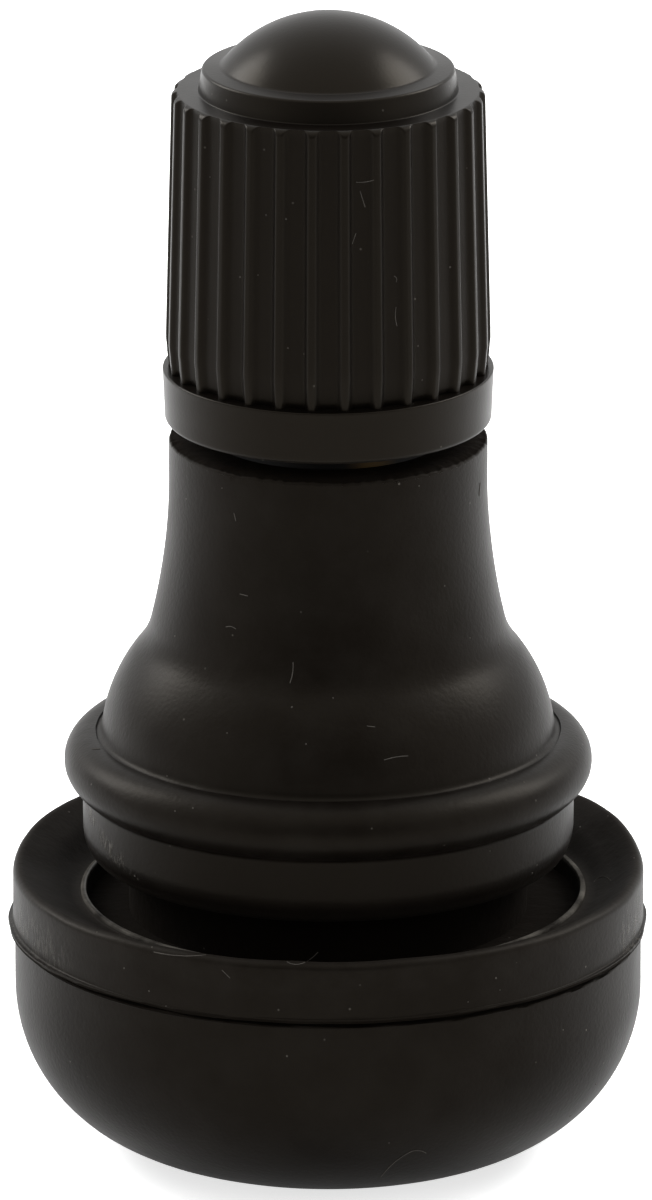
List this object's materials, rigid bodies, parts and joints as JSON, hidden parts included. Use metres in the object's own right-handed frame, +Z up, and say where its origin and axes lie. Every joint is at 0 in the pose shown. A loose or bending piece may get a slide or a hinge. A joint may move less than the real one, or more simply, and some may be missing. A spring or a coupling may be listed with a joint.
{
  "type": "tyre valve",
  "caption": "Snap-in tubeless tyre valve: black rubber body with a rim groove and bead, brass stem with a sprung core, and a fluted screw-on dust cap.",
  "frame": {"origin": "centre of the base's flat underside", "axes": "+Z up the valve's axis towards the cap; the front flute of the cap faces -Y"},
  "size_m": [0.0194, 0.0194, 0.035],
  "materials": {
    "rubber": "moulded, matt, dusty",
    "cap_plastic": "moulded, satin",
    "stem_brass": "turned",
    "core_brass": "turned, bright",
    "spring_steel": "drawn wire",
    "gasket": "moulded, waxy",
    "seal_rubber": "moulded, smooth"
  },
  "bodies": {
    "valve": {"rubber_body": "rubber", "brass_stem": "stem_brass", "core_plug": "core_brass", "core_barrel": "core_brass", "barrel_gasket": "gasket", "core_spring": "spring_steel"},
    "plunger": {"plunger_pin": "core_brass", "spring_cup": "core_brass", "plunger_cup": "core_brass", "plunger_seal": "seal_rubber"},
    "cap_seal": {"cap_seal": "seal_rubber"},
    "cap": {"dust_cap": "cap_plastic"}
  },
  "joints": [
    {"name": "pin_press", "type": "slide", "parent": "valve", "child": "plunger", "axis": [0, 0, -1], "range_m": [0, 0.0015], "stiffness_N_per_m": 1000, "springref_m": -0.002, "deforming": ["core_spring"]},
    {"name": "cap_rise", "type": "slide", "parent": "valve", "child": "cap_seal", "axis": [0, 0, 1], "range_m": [0, 0.00476]},
    {"name": "cap_turn", "type": "hinge", "parent": "cap_seal", "child": "cap", "pos_m": [0, 0, 0.0312], "axis": [0, 0, 1], "range_deg": [0, 2160]}
  ],
  "couplings": [
    {"joint": "cap_turn", "follows": "cap_rise", "rad_per_m": 7913.3}
  ]
}
